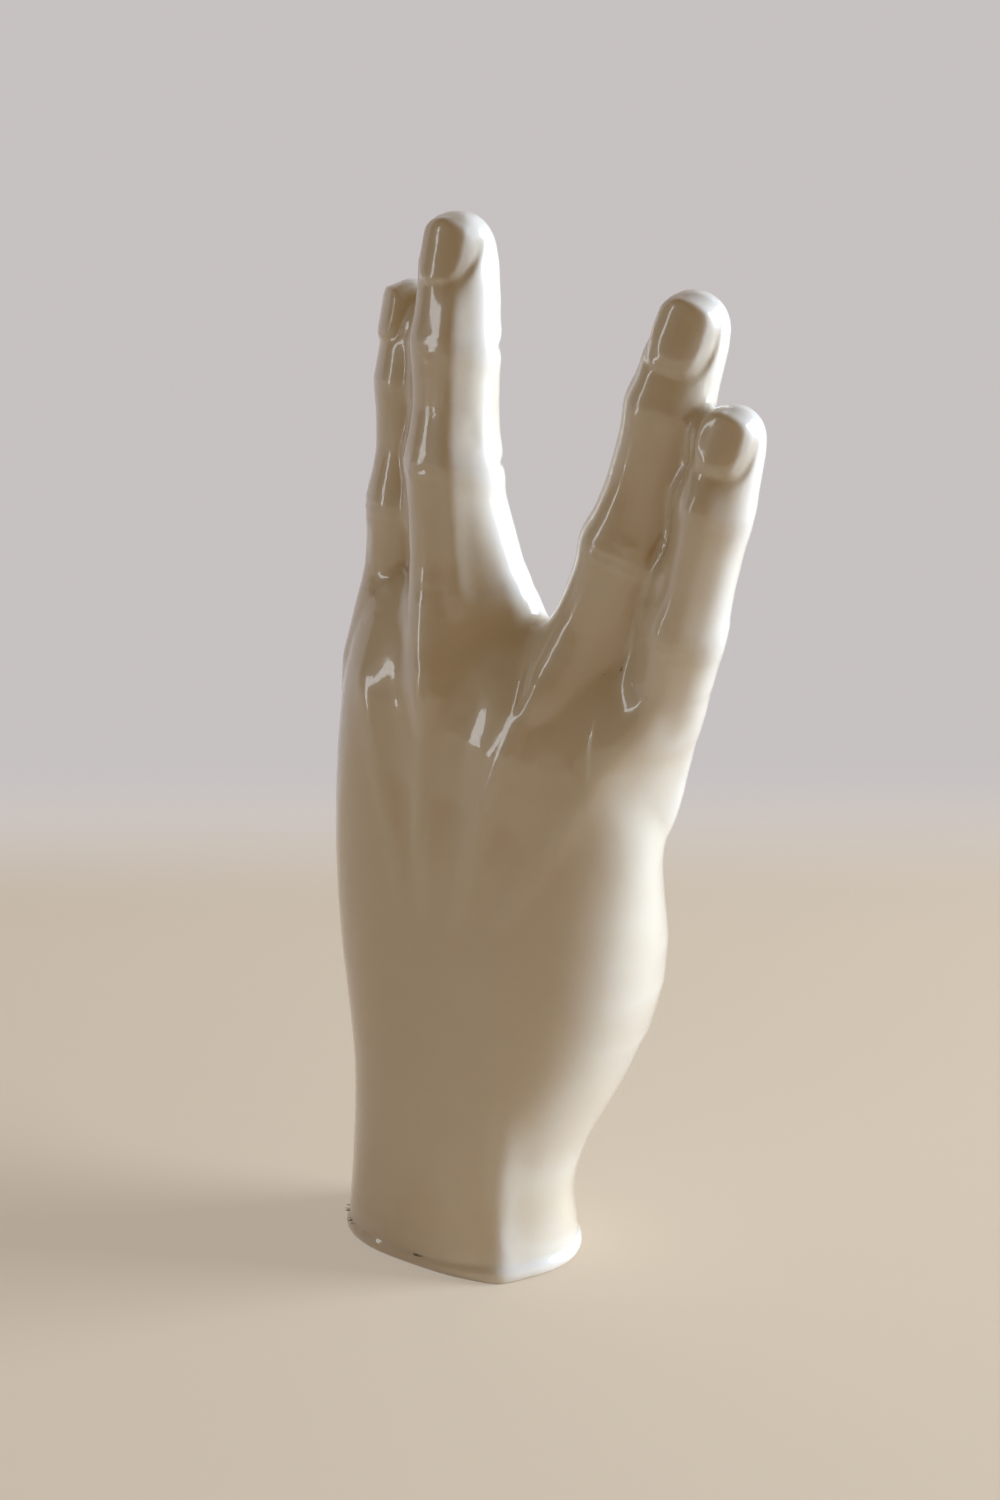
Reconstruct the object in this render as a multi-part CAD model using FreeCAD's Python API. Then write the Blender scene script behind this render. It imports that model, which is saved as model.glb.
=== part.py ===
import FreeCAD, Part
import math
import os

from FreeCAD import Vector

# A right hand with its fingers up, in hollow glazed ceramic. The digits are cast by themselves and luted on.
# +Z is up, the back of the hand faces -Y and the little finger is on the +X side.
# The origin is the centre of the foot's underside. Lengths are in millimetres and angles in degrees.

# Wrist and palm
palm_breadth = 84.0
palm_depth = 46.0
knuckle_height = 127.0
cast_wall = 4.5

# Lengths of the bones of each digit, from the knuckle out
index_bones = (34.0, 26.0, 21.5)
middle_bones = (47.0, 24.5, 27.0)
ring_bones = (38.5, 31.5, 24.8)
little_bones = (30.5, 27.5, 22.0)
thumb_bones = (42.0, 31.0, 27.0)

# How far each digit is rooted in the palm below its knuckle
finger_root = 40.0
little_root = 26.0
thumb_root = 15.0

# Width of each digit at its middle joint
index_width = 18.8
middle_width = 20.2
ring_width = 18.6
little_width = 16.4
thumb_width = 21.0

# How far the side of a digit spreads into the web beside it, at the knuckle, and how far that web
# is turned towards the palm
middle_spread = 14.5
little_spread = 1.2
thumb_spread = 16.0
middle_spread_turn = 42.0

# Flesh that fills the angle between the thumb and the palm: thickness in the palm and at its edge
thumb_web_thicknesses = (26.0, 11.0)
thenar_thicknesses = (34.0, 20.0)

# Flesh between the roots of the ring finger and the little finger
ring_web_thicknesses = (26.0, 15.0)

# Luted joints between the digits and the palm
digit_wall = 4.0
spigot_length = 2.5
spigot_wall = 1.4
lute_clearance = 0.15
touch_clearance = 0.3

# How far the fingernails stand out of the skin
nail_lift = 0.6
nail_edge_lift = 1.3

# Foot slab
slab_thickness = 3.2
slab_overhang = 0.7
slab_edge_radius = 0.9
slab_step_height = 2.0
slab_step_clearance = 0.4
vent_radius = 3.0

# One overrun for every cut
overrun = 1.0

# Knuckles, as shares of the palm's breadth, the palm's depth and the knuckle height
index_knuckle_shares = (-0.258, 0.098, 1.008)
middle_knuckle_shares = (0.014, -0.065, 1.000)
ring_knuckle_shares = (0.300, -0.022, 0.985)
little_knuckle_shares = (0.540, 0.109, 0.929)
thumb_knuckle_shares = (-0.240, 0.230, 0.420)

# Levels of the palm from the foot up: height as a share of the knuckle height, radial and ulnar edge
# as shares of half the breadth, back, thenar, hollow and hypothenar as shares of half the depth,
# and rise to the ulnar side
palm_columns = ("height", "radial", "ulnar", "back", "thenar", "hollow", "hypothenar", "rise")
palm_level_shares = (
    (0.000, 0.655, 0.655, 0.900, 0.790, 0.900, 0.800, 0.00),
    (0.190, 0.615, 0.680, 0.850, 0.830, 0.900, 0.880, 0.00),
    (0.315, 0.635, 0.850, 0.800, 1.080, 0.900, 1.250, 0.00),
    (0.440, 0.710, 1.000, 0.770, 1.300, 0.800, 1.370, 0.00),
    (0.590, 0.780, 1.070, 0.740, 1.260, 0.640, 1.330, -0.04),
    (0.730, 0.795, 1.100, 0.710, 1.000, 0.540, 1.080, -0.09),
    (0.860, 0.770, 1.140, 0.680, 0.800, 0.560, 0.980, -0.14),
    (0.950, 0.730, 1.150, 0.640, 0.760, 0.620, 0.900, -0.17),
    (1.020, 0.680, 1.080, 0.560, 0.660, 0.600, 0.740, -0.19),
    (1.070, 0.620, 0.950, 0.460, 0.510, 0.490, 0.530, -0.20),
    (1.120, 0.540, 0.800, 0.320, 0.420, 0.410, 0.430, -0.20),
    (1.155, 0.440, 0.620, 0.150, 0.280, 0.280, 0.280, -0.20),
)
palm_levels = 16
cavity_top_share = 0.84
cavity_levels = 8
crowding_angle = 70.0

# Points round one level: which edge and its share, then which depth and its share
palm_outline_shares = (
    ("radial", -1.00, "back", -0.02),
    ("radial", -0.72, "back", -0.74),
    ("ulnar", 0.02, "back", -1.00),
    ("ulnar", 0.77, "back", -0.76),
    ("ulnar", 1.00, "back", 0.05),
    ("ulnar", 0.62, "hypothenar", 0.90),
    ("ulnar", 0.02, "hollow", 1.00),
    ("radial", -0.60, "thenar", 0.90),
)

# Girth of a digit: place, then width, depth of the back and depth of the pad as shares of the digit's width,
# and the share of its spread. Place 0 is the root, 1 the knuckle, 2 and 3 the joints and 4 the tip.
digit_girth_shares = (
    (0.00, 0.80, 0.40, 0.40, 0.60),
    (0.50, 0.95, 0.52, 0.50, 0.90),
    (1.00, 1.08, 0.63, 0.56, 1.00),
    (1.30, 1.01, 0.55, 0.54, 0.82),
    (1.68, 0.94, 0.46, 0.50, 0.26),
    (2.00, 1.00, 0.49, 0.47, 0.04),
    (2.30, 0.94, 0.43, 0.46, 0.00),
    (2.65, 0.91, 0.42, 0.46, 0.00),
    (3.00, 0.93, 0.43, 0.43, 0.00),
    (3.35, 0.89, 0.38, 0.46, 0.00),
    (3.65, 0.84, 0.33, 0.43, 0.00),
    (4.00, 0.76, 0.28, 0.36, 0.00),
)
tip_place_share = 4
root_dome_share = 0.40
tip_dome_share = 0.38
dome_step_shares = (0.45, 0.70, 0.88, 0.98)
dome_power = 2.5
shaft_stations = 12
outline_points = 8

# Places between which each filling is stretched, first along one digit and then along the other
thumb_web_shares = (1.00, 1.95, 0.00, 0.66)
thenar_shares = (0.90, 1.70, 0.00, 0.16)
ring_web_shares = (0.40, 1.24, 0.40, 1.46)
flesh_stations = 5

# Places between which a digit is bored hollow
bore_start_share = 0.30
bore_end_share = 3.00

# Fingernail: places of the cuticle and the free edge, width and bow as shares of the digit's width,
# and how far each end's arc bulges as a share of the nail's width
nail_start_share = 3.46
nail_end_share = 3.93
nail_width_share = 0.70
nail_bow_share = 0.52
cuticle_bulge_share = 0.38
free_edge_bulge_share = 0.22

# Steps of the rounding on the foot slab's edges
slab_edge_steps = 3


def unit(vector):
    result = Vector(vector)
    result.normalize()
    return result


def heading(lean, bend):
    """Direction of a bone that leans towards the little finger and bends towards the palm."""
    lean_angle = math.radians(lean)
    bend_angle = math.radians(bend)
    return unit(Vector(math.sin(lean_angle), math.tan(bend_angle), math.cos(lean_angle)))


def steps(start, end, count):
    return [start + (end - start) * step / (count - 1) for step in range(count)]


def closed_curve(points):
    curve = Part.BSplineCurve()
    curve.interpolate(Points=points, PeriodicFlag=True)
    return Part.Wire([curve.toShape()])


def smooth_law(rows, column):
    """A smooth law through one column of a table, over its first column."""
    points = [Vector(row[0], row[column], 0.0) for row in rows]
    curve = Part.BSplineCurve()
    curve.interpolate(Points=points, Parameters=[row[0] for row in rows])
    return lambda place: curve.value(place).y


width_law, back_law, pad_law, spread_law = [smooth_law(digit_girth_shares, column) for column in range(1, 5)]
palm_laws = {
    name: smooth_law(palm_level_shares, column) for column, name in enumerate(palm_columns) if column
}


def end_rounding(place):
    """Share of the full girth that is left near the root and the tip of a digit."""
    from_root = 1.0 - place / root_dome_share
    from_tip = 1.0 - (tip_place_share - place) / tip_dome_share
    run = max(0.0, from_root, from_tip)
    return (1.0 - run**dome_power) ** (1.0 / dome_power)


def station_places():
    root_places = [root_dome_share * (1.0 - share) for share in reversed(dome_step_shares)]
    shaft_places = steps(root_dome_share, tip_place_share - tip_dome_share, shaft_stations)
    tip_places = [tip_place_share - tip_dome_share * (1.0 - share) for share in dome_step_shares]
    return root_places + shaft_places + tip_places


class Digit:
    """One digit, lofted along a curved centre line."""

    def __init__(
        self, knuckle_shares, root, bones, leans, bends, roll, width, joint_share, spread=0.0, spread_turn=0.0
    ):
        across, out, up = knuckle_shares
        knuckle = Vector(across * palm_breadth, out * palm_depth, up * knuckle_height)
        headings = [heading(lean, bend) for lean, bend in zip(leans, bends)]
        joints = [knuckle - headings[0] * root, knuckle]
        self.reaches = [0.0, root]
        for length, direction in zip(bones, headings):
            joints.append(joints[-1] + direction * length)
            self.reaches.append(self.reaches[-1] + length)
        self.line = Part.BSplineCurve()
        self.line.interpolate(Points=joints, Parameters=self.reaches)
        self.width = width
        self.spread = spread
        self.spread_turn = math.radians(spread_turn)
        self.joint_share = joint_share
        self.facing = Vector(math.sin(math.radians(roll)), -math.cos(math.radians(roll)), 0.0)

    def reach(self, place):
        """Length along the centre line at a place."""
        bone = min(int(place), tip_place_share - 1)
        share = place - bone
        return self.reaches[bone] * (1.0 - share) + self.reaches[bone + 1] * share

    def centre(self, place):
        return self.line.value(self.reach(place))

    def along(self, place):
        return Vector(*self.line.tangent(self.reach(place))[0])

    def back(self, place):
        """Direction in which the back of the digit faces."""
        along = self.along(place)
        return unit(self.facing - along * self.facing.dot(along))

    def girth(self, place):
        """Half the width, the depth of the back and the depth of the pad."""
        size = self.width * end_rounding(place)
        return width_law(place) / 2.0 * size, back_law(place) * size, pad_law(place) * size

    def section(self, place, lift):
        half_width, back_depth, pad_depth = self.girth(place)
        spread = self.spread * spread_law(place) * end_rounding(place)
        centre = self.centre(place)
        back = self.back(place)
        side = self.along(place).cross(back)
        points = []
        for step in range(outline_points):
            angle = 2.0 * math.pi * step / outline_points
            back_part = (1.0 + math.sin(angle)) / 2.0
            depth = back_depth * back_part + pad_depth * (1.0 - back_part)
            web_share = max(0.0, math.cos(angle + self.spread_turn)) ** 2
            across = (half_width + lift) * math.cos(angle) + spread * web_share
            out = (depth + lift) * math.sin(angle)
            points.append(centre + side * across + back * out)
        return closed_curve(points)

    def skin(self, lift=0.0):
        """The whole digit from root to tip, with its skin lifted."""
        profiles = [Part.Vertex(self.centre(0) - self.along(0) * lift)]
        profiles += [self.section(place, lift) for place in station_places()]
        profiles.append(Part.Vertex(self.centre(tip_place_share) + self.along(tip_place_share) * lift))
        return Part.makeLoft(profiles, True, True)

    def nail(self):
        """A plate bowed across the digit and rounded at both ends, which stands out of the skin."""
        out = self.back(nail_start_share)
        start_depth = self.girth(nail_start_share)[1] + nail_lift
        end_depth = self.girth(nail_end_share)[1] + nail_edge_lift
        start = self.centre(nail_start_share) + out * start_depth
        end = self.centre(nail_end_share) + out * end_depth
        length = (end - start).Length
        along = unit(end - start)
        out = unit(out - along * out.dot(along))
        side = out.cross(along)
        bow_radius = self.width * nail_bow_share
        axis_start = start - out * bow_radius - along * overrun
        bowed = Part.makeCylinder(bow_radius, length + 2.0 * overrun, axis_start, along)

        floor = start - out * bow_radius
        nail_width = self.width * nail_width_share
        left = side * (nail_width / 2.0)
        cuticle_run = along * (nail_width * cuticle_bulge_share)
        edge_run = along * (length - nail_width * free_edge_bulge_share)
        outline = Part.Wire([
            Part.Arc(floor + left + cuticle_run, floor, floor - left + cuticle_run).toShape(),
            Part.makeLine(floor - left + cuticle_run, floor - left + edge_run),
            Part.Arc(floor - left + edge_run, floor + along * length, floor + left + edge_run).toShape(),
            Part.makeLine(floor + left + edge_run, floor + left + cuticle_run),
        ])
        return bowed.common(Part.Face(outline).extrude(out * (bow_radius + overrun)))

    def bore_radius(self, place):
        half_width, back_depth, pad_depth = self.girth(place)
        return min(half_width, (back_depth + pad_depth) / 2.0) - digit_wall

    def root_bore(self):
        """The hollow below the luted joint, which opens into the hollow of the palm."""
        start = self.centre(bore_start_share)
        run = self.centre(self.joint_share) - start
        radii = (self.bore_radius(bore_start_share), self.bore_radius(self.joint_share))
        return Part.makeCone(radii[0], radii[1], run.Length, start, run)

    def free_bore(self):
        """The hollow past the luted joint, open through the spigot."""
        start = self.centre(self.joint_share) - self.along(self.joint_share) * (spigot_length + overrun)
        run = self.centre(bore_end_share) - start
        radii = (self.bore_radius(self.joint_share), self.bore_radius(bore_end_share))
        return Part.makeCone(radii[0], radii[1], run.Length, start, run)

    def spigot(self, clearance=0.0):
        """The round tongue under the luted joint that centres the digit."""
        along = self.along(self.joint_share)
        length = spigot_length + clearance
        radius = self.bore_radius(self.joint_share) + spigot_wall + clearance
        start = self.centre(self.joint_share) - along * length
        return Part.makeCylinder(radius, length + overrun, start, along)

    def room_past_joint(self):
        along = self.along(self.joint_share)
        return Part.makeCylinder(2.0 * self.width, self.reaches[-1], self.centre(self.joint_share), along)

    def stub(self):
        """What is cast with the palm: the digit up to its luted joint."""
        return self.skin().cut(self.room_past_joint())

    def seat(self):
        """The room that the luted piece takes out of the palm, with its clearances."""
        past_joint = self.skin(touch_clearance).common(self.room_past_joint())
        return past_joint.fuse(self.spigot(lute_clearance))

    def luted_piece(self, neighbour=None):
        """The digit past the joint with its nail, spigot and bore, pressed flat against its neighbour."""
        body = self.skin().common(self.room_past_joint()).fuse([self.nail(), self.spigot()])
        if neighbour:
            body = body.cut(neighbour.skin(touch_clearance))
        return body.cut(self.free_bore())


def palm_outline(height, inset):
    """Closed outline of the palm at a share of its height, drawn in by the inset."""
    sizes = {}
    for name, law in palm_laws.items():
        full_size = palm_breadth if name in ("radial", "ulnar") else palm_depth
        sizes[name] = law(height) * full_size / 2.0 - inset
    level = slab_thickness + (knuckle_height - slab_thickness) * height
    points = []
    for edge, edge_share, depth, depth_share in palm_outline_shares:
        across = edge_share * sizes[edge]
        points.append(Vector(across, depth_share * sizes[depth], level + palm_laws["rise"](height) * across))
    return closed_curve(points)


def palm_loft(top_share, levels, inset):
    """A loft through palm levels that lie closer together towards the top."""
    top_angle = math.radians(crowding_angle)
    heights = [top_share * math.sin(angle) / math.sin(top_angle) for angle in steps(0.0, top_angle, levels)]
    return Part.makeLoft([palm_outline(height, inset) for height in heights], True, True)


def flesh(first, second, spans, thicknesses):
    """A filling stretched between the centre lines of two digits, thinner at its edge."""
    first_start, first_end, second_start, second_end = spans
    rungs = []
    for share in steps(0.0, 1.0, flesh_stations):
        near = first.centre(first_start + (first_end - first_start) * share)
        far = second.centre(second_start + (second_end - second_start) * share)
        rungs.append((share, (near + far) / 2.0, (far - near) / 2.0))
    travel = rungs[-1][1] - rungs[0][1]
    profiles = []
    for share, middle, reach in rungs:
        thickness = thicknesses[0] + (thicknesses[1] - thicknesses[0]) * share
        out = unit(reach.cross(travel)) * (thickness / 2.0)
        points = []
        for step in range(outline_points):
            angle = 2.0 * math.pi * step / outline_points
            points.append(middle + reach * math.cos(angle) + out * math.sin(angle))
        profiles.append(closed_curve(points))
    return Part.makeLoft(profiles, True, True)


def foot_slab():
    """A plate under the wrist with rounded edges, a locating step and a vent beside its centre."""
    quarter = steps(0.0, math.pi / 2.0, slab_edge_steps)
    rings = []
    for angle in quarter:
        rings.append((1.0 - math.sin(angle), slab_edge_radius * (1.0 - math.cos(angle))))
    for angle in quarter:
        rings.append((1.0 - math.cos(angle), slab_thickness - slab_edge_radius * (1.0 - math.sin(angle))))
    profiles = []
    for inset_share, level in rings:
        profile = palm_outline(0.0, slab_edge_radius * inset_share - slab_overhang)
        profile.translate(Vector(0.0, 0.0, level - slab_thickness))
        profiles.append(profile)
    plate = Part.makeLoft(profiles, True, True)
    inner_outline = palm_outline(0.0, cast_wall + slab_step_clearance)
    step = Part.Face(inner_outline).extrude(Vector(0.0, 0.0, slab_step_height))
    vent_depth = slab_thickness + slab_step_height + 2.0 * overrun
    vent = Part.makeCylinder(vent_radius, vent_depth, Vector(2.0 * vent_radius, 0.0, -overrun))
    return plate.fuse(step).cut(vent)


index = Digit(
    index_knuckle_shares, finger_root, index_bones,
    leans=(6, 1, -5), bends=(1.5, 2, 4), roll=-36, width=index_width, joint_share=1.45,
)
middle = Digit(
    middle_knuckle_shares, finger_root, middle_bones,
    leans=(-2.5, -1.5, -3), bends=(1.5, 4, 6), roll=-6, width=middle_width, joint_share=1.45,
    spread=middle_spread, spread_turn=middle_spread_turn,
)
ring = Digit(
    ring_knuckle_shares, finger_root, ring_bones,
    leans=(24, 17, 16), bends=(3, 2, 4), roll=8, width=ring_width, joint_share=1.42,
)
little = Digit(
    little_knuckle_shares, little_root, little_bones,
    leans=(21.5, 15.5, 13), bends=(-10, -2, 2), roll=4, width=little_width, joint_share=1.62,
    spread=little_spread,
)
thumb = Digit(
    thumb_knuckle_shares, thumb_root, thumb_bones,
    leans=(-32, -22, -12), bends=(32, 28, 20), roll=-70, width=thumb_width, joint_share=2.20,
    spread=thumb_spread,
)
digits = (index, middle, ring, little, thumb)

masses = [
    flesh(thumb, index, thumb_web_shares, thumb_web_thicknesses),
    flesh(thumb, middle, thenar_shares, thenar_thicknesses),
    flesh(ring, little, ring_web_shares, ring_web_thicknesses),
]

palm = palm_loft(palm_level_shares[-1][0], palm_levels, 0.0)
palm = palm.fuse([digit.stub() for digit in digits] + masses)
palm = palm.cut([digit.seat() for digit in digits])
palm = palm.cut([digit.root_bore() for digit in digits])
palm = palm.cut(palm_loft(cavity_top_share, cavity_levels, cast_wall))

nodes = {
    "palm_and_wrist": palm,
    "index_finger": index.luted_piece(middle),
    "middle_finger": middle.luted_piece(),
    "ring_finger": ring.luted_piece(),
    "little_finger": little.luted_piece(ring),
    "thumb": thumb.luted_piece(),
    "foot_slab": foot_slab(),
}

os.makedirs("parts", exist_ok=True)
for name, solid in nodes.items():
    solid.exportStep("parts/" + name + ".step")
    print(name, len(solid.Solids), "solid", round(solid.Volume / 1000.0, 1), "ml")
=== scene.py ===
# %% [markdown]
# # A glazed ceramic hand
# The hand is a hollow casting that stands on its wrist. Its palm, its five digits and the slab
# under its foot are cast apart, luted together with slip and glazed as one, so the joints vanish
# under the glaze. The frame holds these castings with their true sizes and places. This notebook
# lays one soft, glossy skin over them, models what the glaze rounds off, such as nails, knuckles
# and creases, and lights the hand.

# %% Load the castings
import math

import bpy
import numpy as np
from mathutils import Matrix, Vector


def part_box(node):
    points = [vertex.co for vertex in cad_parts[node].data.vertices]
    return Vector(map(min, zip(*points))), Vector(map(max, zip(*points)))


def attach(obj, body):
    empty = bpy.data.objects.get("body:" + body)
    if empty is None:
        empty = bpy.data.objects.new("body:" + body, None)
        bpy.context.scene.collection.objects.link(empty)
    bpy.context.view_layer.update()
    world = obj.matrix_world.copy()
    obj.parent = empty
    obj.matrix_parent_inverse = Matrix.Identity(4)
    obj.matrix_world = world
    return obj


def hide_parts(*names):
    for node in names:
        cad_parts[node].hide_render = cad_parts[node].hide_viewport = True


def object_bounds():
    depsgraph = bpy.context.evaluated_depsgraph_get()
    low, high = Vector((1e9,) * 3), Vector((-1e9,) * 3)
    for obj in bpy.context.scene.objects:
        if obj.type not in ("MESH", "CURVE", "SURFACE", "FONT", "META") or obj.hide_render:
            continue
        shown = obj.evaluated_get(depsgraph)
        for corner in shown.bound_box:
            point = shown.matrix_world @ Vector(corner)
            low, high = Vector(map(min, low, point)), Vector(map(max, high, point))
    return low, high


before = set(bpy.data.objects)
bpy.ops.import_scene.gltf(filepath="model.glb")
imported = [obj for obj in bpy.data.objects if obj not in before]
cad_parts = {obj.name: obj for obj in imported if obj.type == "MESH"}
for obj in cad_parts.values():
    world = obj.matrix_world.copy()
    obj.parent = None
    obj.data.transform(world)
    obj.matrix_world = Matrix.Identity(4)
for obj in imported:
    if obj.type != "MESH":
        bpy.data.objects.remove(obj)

import openvdb
from mathutils import Vector

cad_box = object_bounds()
castings = list(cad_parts)
print("castings:", ", ".join(castings))
print("size in mm:", [round(1000 * (high - low), 1) for low, high in zip(*cad_box)])

# %% [markdown]
# ## The camera
# The photograph was taken a little above the hand, from its back and its little-finger side. The
# upright lines hardly lean, so the lens is a long one. The camera stands where the foot's outline
# has the right ellipse, and it aims at a point in the middle of the palm.

# %% Camera
camera_side = math.radians(38.0)
camera_reach = 0.680
camera_height = 0.317
camera_aim = Vector((0.0061, 0.0048, 0.1116))
camera_lens = 80.4

camera_data = bpy.data.cameras.new("camera")
camera_data.lens = camera_lens
camera = bpy.data.objects.new("camera", camera_data)
camera.location = (
    camera_reach * math.sin(camera_side),
    -camera_reach * math.cos(camera_side),
    camera_height,
)
camera.rotation_euler = (camera_aim - camera.location).to_track_quat("-Z", "Y").to_euler()
bpy.context.scene.collection.objects.link(camera)
bpy.context.scene.camera = camera
print("camera to aim in mm:", round(1000 * (camera_aim - camera.location).length))

# %% [markdown]
# ## Castings as distance fields
# A distance field is a block of numbers that say how far each point is from a surface, and which
# side it is on. Booleans and sculpting brushes could join the castings too, but a field lets
# forms flow into each other like wet clay: blurring it rounds an edge, and adding a bump to it
# swells the skin. Lengths here are in millimetres.

# %% Turn the castings into fields
mm = 0.001
cell = 0.5
reach = 8.0
room = 4.0
field_low = np.floor((np.array(cad_box[0]) / mm - room) / cell).astype(int)
field_high = np.ceil((np.array(cad_box[1]) / mm + room) / cell).astype(int)
field_shape = tuple(field_high - field_low + 1)
spacing = openvdb.createLinearTransform(voxelSize=cell)


def surface_of(node):
    """The points in millimetres and the triangles of a casting."""
    mesh = node.data
    mesh.calc_loop_triangles()
    points = np.empty(3 * len(mesh.vertices), np.float32)
    mesh.vertices.foreach_get("co", points)
    triangles = np.empty(3 * len(mesh.loop_triangles), np.int32)
    mesh.loop_triangles.foreach_get("vertices", triangles)
    return points.reshape(-1, 3) / mm, triangles.reshape(-1, 3)


def distance_field(node):
    """Distance to a casting's surface, below zero in its clay."""
    points, triangles = surface_of(node)
    grid = openvdb.FloatGrid.createLevelSetFromPolygons(
        points, triangles=triangles, transform=spacing, halfWidth=reach / cell
    )
    field = np.empty(field_shape, np.float32)
    grid.copyToArray(field, ijk=tuple(int(index) for index in field_low))
    return field


fields = {name: distance_field(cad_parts[name]) for name in castings}
for name, field in fields.items():
    print(name, "clay in ml:", round(float((field < 0).sum()) * cell**3 / 1000, 1))

# %% [markdown]
# ## One body, with its hollow closed
# Only the outside shows, so what each level slice encloses is filled once the castings are
# joined. Air creeps in from the slice's border, as in a flood fill, and what it can't reach is
# the hollow of the casting. Fingers that touch are bridged by glaze wherever both of them are
# nearer than a drop's thickness.

# %% Join the castings
slice_step = 2


def hollow_of(field):
    """Where a level slice of the body encloses air."""
    air = field[::slice_step, ::slice_step, ::slice_step] > 0.0
    open_air = np.zeros_like(air)
    open_air[0] = open_air[-1] = True
    open_air[:, 0] = open_air[:, -1] = True
    reached = 0
    while reached != open_air.sum():
        reached = open_air.sum()
        grown = open_air.copy()
        grown[1:] |= open_air[:-1]
        grown[:-1] |= open_air[1:]
        grown[:, 1:] |= open_air[:, :-1]
        grown[:, :-1] |= open_air[:, 1:]
        open_air = grown & air
    hollow = air & ~open_air
    wide = hollow.copy()
    wide[1:] |= hollow[:-1]
    wide[:-1] |= hollow[1:]
    wide[:, 1:] |= hollow[:, :-1]
    wide[:, :-1] |= hollow[:, 1:]
    for axis in range(3):
        wide = wide.repeat(slice_step, axis)
    return wide[tuple(slice(0, count) for count in field.shape)]


body = np.minimum.reduce(list(fields.values()))
glaze_bridge = 1.3
touching = [("index_finger", "middle_finger"), ("ring_finger", "little_finger")]
for first, second in touching:
    body = np.minimum(body, np.maximum(fields[first], fields[second]) - glaze_bridge)
hollow = hollow_of(body)
body[hollow] = -reach
clay_volume = float((body < 0).sum()) * cell**3 / 1000
print("hollow in ml:", round(float(hollow.sum()) * cell**3 / 1000, 1))

# %% [markdown]
# ## Rounding the body
# Wet glaze fills corners and softens edges. A blur of the field does both: where the blurred
# field is lower it has filled a corner, and taking the lower of the two fields fills corners
# without wearing the edges away. The webs between the digits get a wide fill, and the creases of
# fingers that touch stay narrow.

# %% Blur a field, and pick out a block of it


def blur(field, radius):
    """Three running means along each axis, which together come close to a Gaussian blur."""
    half = max(1, round(radius / cell))
    width = 2 * half + 1
    for axis in (0, 1, 2) * 3:
        lines = np.moveaxis(field, axis, 0)
        before = np.repeat(lines[:1], half + 1, 0)
        after = np.repeat(lines[-1:], half, 0)
        sums = np.cumsum(np.concatenate([before, lines, after]), axis=0, dtype=np.float32)
        field = np.moveaxis((sums[width:] - sums[:-width]) / width, 0, axis)
    return field


def ramp(values, start, end):
    """A smooth step from 0 at the start to 1 at the end."""
    share = np.clip((values - start) / (end - start), 0.0, 1.0)
    return share * share * (3.0 - 2.0 * share)


def block_of(low, high):
    """The slices of the fields that hold a box."""
    first = np.floor(np.array(low) / cell).astype(int) - field_low
    last = np.ceil(np.array(high) / cell).astype(int) - field_low + 1
    return tuple(slice(max(0, int(start)), max(0, int(stop))) for start, stop in zip(first, last))


def places_in(block):
    """The x, y and z of a block's cells, ready to mix."""
    spans = []
    for axis, span in enumerate(block):
        stop = min(span.stop, field_shape[axis])
        spans.append((np.arange(span.start, stop) + field_low[axis]) * cell)
    return spans[0][:, None, None], spans[1][None, :, None], spans[2][None, None, :]


# %% Fill the webs and the creases
heights = (np.arange(field_shape[2]) + field_low[2]) * cell
web_radius = 2.5
crease_radius = 1.0
web_top = 150.0
web_fade = 12.0
web_share = 1.0 - ramp(heights, web_top - web_fade, web_top)
web_fill = np.minimum(body, blur(body, web_radius))
crease_fill = np.minimum(body, blur(body, crease_radius))
body = web_fill * web_share + crease_fill * (1.0 - web_share)
filled_volume = float((body < 0).sum()) * cell**3 / 1000 - clay_volume
print("glaze in the corners in ml:", round(filled_volume, 1))

# %% [markdown]
# ## Modelling over the roots
# A few places where digits grow out of the palm are modelled over with a wider blur of their own,
# as a potter smooths slip over a joint. A last light blur takes the facets off everything.

# %% Model over the roots of the digits
model_reach = 2.2
full_share = 0.8


def model_over(place, size, radius, wear):
    """Fills the corners round a place with a wider blur, and wears a share of the edges away."""
    place = np.array(place)
    block = block_of(place - model_reach * size, place + model_reach * size)
    x, y, z = places_in(block)
    share = np.exp(-((x - place[0]) ** 2 + (y - place[1]) ** 2 + (z - place[2]) ** 2) / size**2)
    local = body[block]
    smooth = blur(local, radius)
    smooth = wear * smooth + (1.0 - wear) * np.minimum(local, smooth)
    share = share.clip(0.0, full_share).astype(np.float32)
    body[block] = local + (smooth - local) * share / full_share


modelled = [
    ((48.0, 0.0, 112.0), 13.0, 5.0, 0.5),
    ((44.0, -7.0, 124.0), 11.0, 5.0, 0.7),
    ((26.0, -10.0, 142.0), 8.0, 3.0, 0.0),
    ((51.0, -5.0, 127.0), 8.0, 4.0, 0.3),
    ((44.5, -1.0, 139.0), 8.0, 2.0, 0.0),
    ((-17.0, -5.0, 136.0), 11.0, 4.5, 0.6),
]
for place, size, radius, wear in modelled:
    model_over(place, size, radius, wear)
body = blur(body, cell)
print("softened over", field_shape, "cells")

# %% [markdown]
# ## Finding places on a digit
# Details such as nails sit at known distances below a fingertip, so each digit needs its own
# measure. Its centre line is found from the middles of its level slices, and a smooth curve
# through them gives the direction there. The back of each digit is turned a little, which is a
# number read from how its nail faces in the photograph.

# %% Measure the digits
digits = [name for name in castings if name not in ("palm_and_wrist", "foot_slab")]
digit_order = ("index_finger", "middle_finger", "ring_finger", "little_finger", "thumb")


def per_digit(*values):
    """One value for each digit, from the index finger to the thumb, which has no middle bone."""
    return dict(zip(digit_order, values))


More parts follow.
